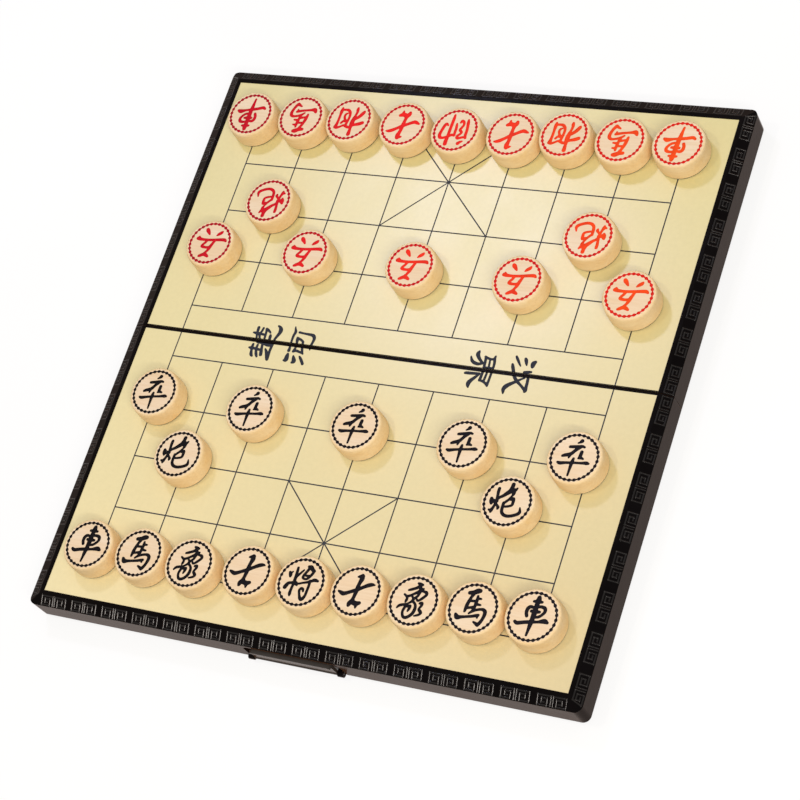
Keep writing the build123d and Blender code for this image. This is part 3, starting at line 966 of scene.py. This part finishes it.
def seam_edge_line(side, name, body, material):
    """The black edge of the tray that shows between the film and the seam."""
    y = side * (seam_edge + SEAM_EDGE_WIDTH / 2)
    corners = bar((far_film_low.x, y), (far_film_high.x, y), SEAM_EDGE_WIDTH)
    raised_ink(name, [tuple(corner) for corner in corners], [(0, 1, 2, 3)], material, body)


def river_words(side, name, body, material):
    """The part of the four river words that lies on one half."""
    all_points, all_faces = [], []
    x, y, origin = brush_samples()
    reach = BRUSH_GRID / 2 - FIELD_STEP
    border = [(BRUSH_MIDDLE + sx * reach, BRUSH_MIDDLE + sy * reach) for sx, sy in CORNERS]
    for strokes, middle, seam_x, towards_far in RIVER_WORDS:
        beyond = (x - seam_x) * towards_far * side * BRUSH_UNIT - seam_edge
        field = np.maximum(brush_field(strokes, x, y), -beyond / BRUSH_UNIT)
        loops = [thin_out(loop) for loop in outlines(field, origin)]
        points, _, ink = face_plan(loops, border)
        start = len(all_points)
        for px, py in points:
            right = (px - seam_x) * BRUSH_UNIT
            up = (BRUSH_MIDDLE - py) * BRUSH_UNIT
            across, along = towards_far * right, -towards_far * up
            all_points.append((middle * FILE_PITCH + along, across))
        all_faces += [tuple(start + i for i in face) for face in ink]
    raised_ink(name, all_points, all_faces, material, body)


# ---- Meander rim

def meander_motif():
    """One half of a motif as a line: bracket, turned inwards to a small square hook."""
    middle, inner, hook, square, bracket = MOTIF_BARS
    top = MOTIF_HEIGHT - HOOK_INSET
    return ((middle, 0), (middle, MOTIF_HEIGHT), (bracket, MOTIF_HEIGHT), (bracket, 0),
            (inner, 0), (inner, top), (square, top), (square, HOOK_INSET), (hook, HOOK_INSET))


def ridge(points, place, vertices, faces):
    """Low bars with sloping flanks along a line on the band, one for each straight stretch."""
    count = len(RIDGE_SECTION)
    for start, end in zip(points, points[1:]):
        a, b = Vector(start), Vector(end)
        heading = (b - a).normalized()
        side = Vector((-heading.y, heading.x))
        reach = heading * RIDGE_WIDTH / 2
        rise = RIDGE_WIDTH * (1.0 if abs(heading.y) > abs(heading.x) else LOW_RIDGE)
        first = len(vertices)
        for middle in (a - reach, b + reach):
            for offset, height in RIDGE_SECTION:
                at = middle + side * (offset * RIDGE_WIDTH)
                vertices.append(place(at.x, at.y, height * rise))
        for j in range(count):
            k = (j + 1) % count
            faces.append((first + j, first + count + j, first + count + k, first + k))
        faces.append(tuple(first + j for j in range(count)))
        faces.append(tuple(first + count + j for j in reversed(range(count))))


def rim_band(edge_start, along, inward, centres, length, mitred, vertices, faces):
    """Motifs along one straight band, from a corner of the board to a mitre or the seam."""
    slope = Vector((BEVEL_WIDTH, BEVEL_DROP))
    run = slope.normalized()
    first = (slope.length - MOTIF_HEIGHT) / 2
    foot_z = top_z - BEVEL_DROP

    def place(u, v, height):
        level = first + v
        inset = level * run.x - height * run.y
        flat = edge_start + along * u + inward * inset
        return (flat.x, flat.y, foot_z + level * run.y + height * run.x)

    for centre in centres:
        for mirror in (-1, 1):
            line = []
            for u, v in meander_motif():
                inset = (first + v) * run.x
                end = length - inset if mitred else length
                at = max(centre + mirror * u, inset + MITRE_MARGIN)
                line.append((min(at, end - MITRE_MARGIN), v))
            kept = [line[0]]
            for point in line[1:]:
                if math.dist(point, kept[-1]) > RIDGE_WIDTH / 2:
                    kept.append(point)
            ridge(kept, place, vertices, faces)


def meander(side, name, body, material):
    """Relief on the sloping band round one half."""
    vertices, faces = [], []
    width, depth = 2 * board_half_width, board_half_depth
    corner = Vector((-board_half_width, side * board_half_depth))
    pitch = (width - 2 * BEVEL_WIDTH) / MOTIFS_OF_FRONT
    centres = [width / 2 + (i - (MOTIFS_OF_FRONT - 1) / 2) * pitch
               for i in range(MOTIFS_OF_FRONT)]
    rim_band(corner, Vector((1, 0)), Vector((0, -side)), centres, width, True, vertices, faces)
    centres = [depth - FIRST_FROM_SEAM - i * SIDE_PITCH for i in range(MOTIFS_OF_HALF_SIDE)]
    for x, inward in ((-board_half_width, 1), (board_half_width, -1)):
        rim_band(Vector((x, side * board_half_depth)), Vector((0, -side)), Vector((inward, 0)),
                 centres, depth, False, vertices, faces)
    add_piece(name, vertices, faces, (material,), body)


# ---- Stage

def add_camera():
    """The photograph's camera."""
    data = bpy.data.cameras.new("camera")
    data.sensor_width = SENSOR_WIDTH
    data.lens = CAMERA_LENS
    data.clip_start = CAMERA_CLIP
    camera = new_object("camera", data)
    place = Matrix.Translation(CAMERA_PLACE + Vector((0, 0, play_z)))
    turn = (CAMERA_AIM - CAMERA_PLACE).to_track_quat("-Z", "Y").to_matrix().to_4x4()
    camera.matrix_world = place @ turn @ Matrix.Rotation(CAMERA_ROLL, 4, "Z")
    bpy.context.scene.camera = camera


def area_light(name, place, size, power, colour, aim):
    """A rectangular lamp that faces a point."""
    data = bpy.data.lights.new(name, "AREA")
    data.shape = "RECTANGLE"
    data.size, data.size_y = size
    data.energy = power
    data.color = colour
    light = new_object(name, data)
    light.location = place
    light.rotation_euler = (Vector(aim) - Vector(place)).to_track_quat("-Z", "Y").to_euler()


def add_stage():
    """Pale floor, even world light and the lamps."""
    bpy.context.scene.view_settings.view_transform = "Standard"
    mesh = bpy.data.meshes.new("floor")
    corners = [(x * FLOOR_REACH, y * FLOOR_REACH, 0) for x, y in CORNERS]
    mesh.from_pydata(corners, [], [(0, 1, 2, 3)])
    mesh.materials.append(floor_paper())
    new_object("floor", mesh)
    world = bpy.data.worlds.new("studio")
    bpy.context.scene.world = world
    world.use_nodes = True
    nodes, links = world.node_tree.nodes, world.node_tree.links
    spread = nodes.new("ShaderNodeMapRange")
    set_inputs(spread, {"To Min": WORLD_FILL, "To Max": 1.0})
    links.new(seen_directly(nodes, links), spread.inputs["Value"])
    links.new(spread.outputs["Result"], nodes["Background"].inputs["Strength"])
    nodes["Background"].inputs["Color"].default_value = WORLD_COLOUR
    for lamp in LAMPS:
        area_light(*lamp)


# ---- Put together

plastic = gloss_plastic("black_gloss", TRAY_EDGE, 0.03, *BLACK_PLASTIC)
edge_material = gloss_plastic("edge_gloss", FINE_EDGE, 0.08, *BLACK_PLASTIC)
relief = gloss_plastic("relief_gloss", FINE_EDGE, 0.22, *BLACK_PLASTIC)
line_material = printing_ink("line_ink", 900, rgb(30, 30, 34), rgb(60, 60, 64))
word_material = printing_ink("dark_ink", 700, rgb(12, 14, 24), rgb(30, 32, 44))
film = printed_film()
steel = drawn_steel("sheet_steel")
wire = drawn_steel("pin_wire")
rubber = dull_grain("foot_rubber", 1100, rgb(24, 24, 24), rgb(42, 41, 40), (0.65, 0.9),
                    0.08 * MM, 0.6, RUBBER_EDGE)

for half, side in (("near", -1), ("far", 1)):
    half_body = f"{half}_half"
    dress(f"{half}_tray", plastic)
    dress(f"{half}_steel_sheet", steel)
    dress(f"{half}_board_print", film)
    dress(f"{half}_feet", rubber)
    grid_lines(side, f"{half}_grid_lines", half_body, line_material)
    river_words(side, f"{half}_river_words", half_body, word_material)
    seam_edge_line(side, f"{half}_seam_edge", half_body, edge_material)
    meander(side, f"{half}_meander", half_body, relief)
for pin in ("hinge_pin_left", "hinge_pin_right", "clasp_pin"):
    dress(pin, wire)
# The clasp is black plastic with a painted reflection in its paler colour
dress("clasp", gloss_plastic("clasp_gloss_painted_reflection", CLASP_EDGE, 0.12, *CLASP_PLASTIC_PAINTED_REFLECTION))
set_out_pieces()
add_camera()
add_stage()
